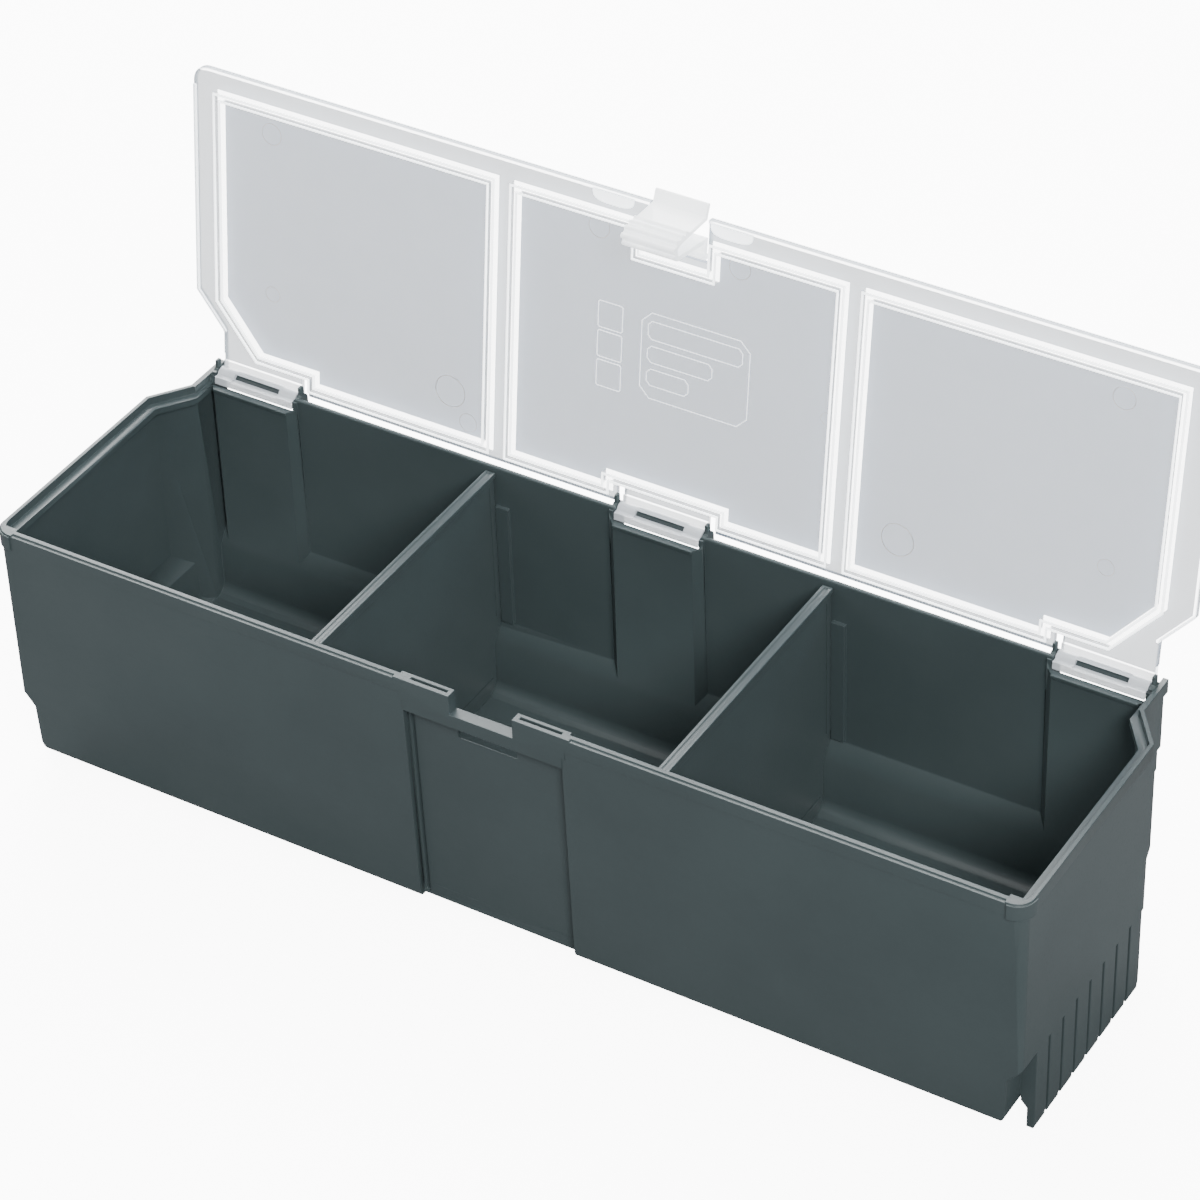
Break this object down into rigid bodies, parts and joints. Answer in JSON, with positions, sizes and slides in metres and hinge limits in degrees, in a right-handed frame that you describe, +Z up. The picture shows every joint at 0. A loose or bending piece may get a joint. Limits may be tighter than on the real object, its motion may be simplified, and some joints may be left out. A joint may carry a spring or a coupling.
{
  "type": "parts sorting tray",
  "caption": "Long stepped bin with lift-out dividers, a hinged translucent lid with sealing ribs, a flexing front clip and comb fins under the ends.",
  "frame": {"origin": "on the surface it stands on, under the middle of the whole box with the lid standing open", "axes": "+X along the length to the right, -Y to the front with the clip, +Z up"},
  "size_m": [0.317, 0.1088, 0.1805],
  "materials": {
    "bin": "fine moulded texture",
    "divider": "fine moulded texture",
    "axle": "smooth",
    "lid": "frosted translucent",
    "clip": "frosted translucent"
  },
  "bodies": {
    "bin": {"tray_body": "bin", "divider_left": "divider", "divider_right": "divider", "axle_left": "axle", "axle_middle": "axle", "axle_right": "axle"},
    "lid": {"lid": "lid", "clip_pin": "clip"},
    "clip": {"clip": "clip"}
  },
  "joints": [
    {"name": "lid_hinge", "type": "hinge", "parent": "bin", "child": "lid", "pos_m": [0, 0.03912, 0.083], "axis": [1, 0, 0], "range_deg": [0, 97]},
    {"name": "clip_flex", "type": "hinge", "parent": "lid", "child": "clip", "pos_m": [0, 0.05163, 0.16519], "axis": [1, 0, 0], "range_deg": [-42, 0]}
  ],
  "couplings": [
    {"joint": "clip_flex", "follows": "lid_hinge", "ratio": -0.4124}
  ]
}
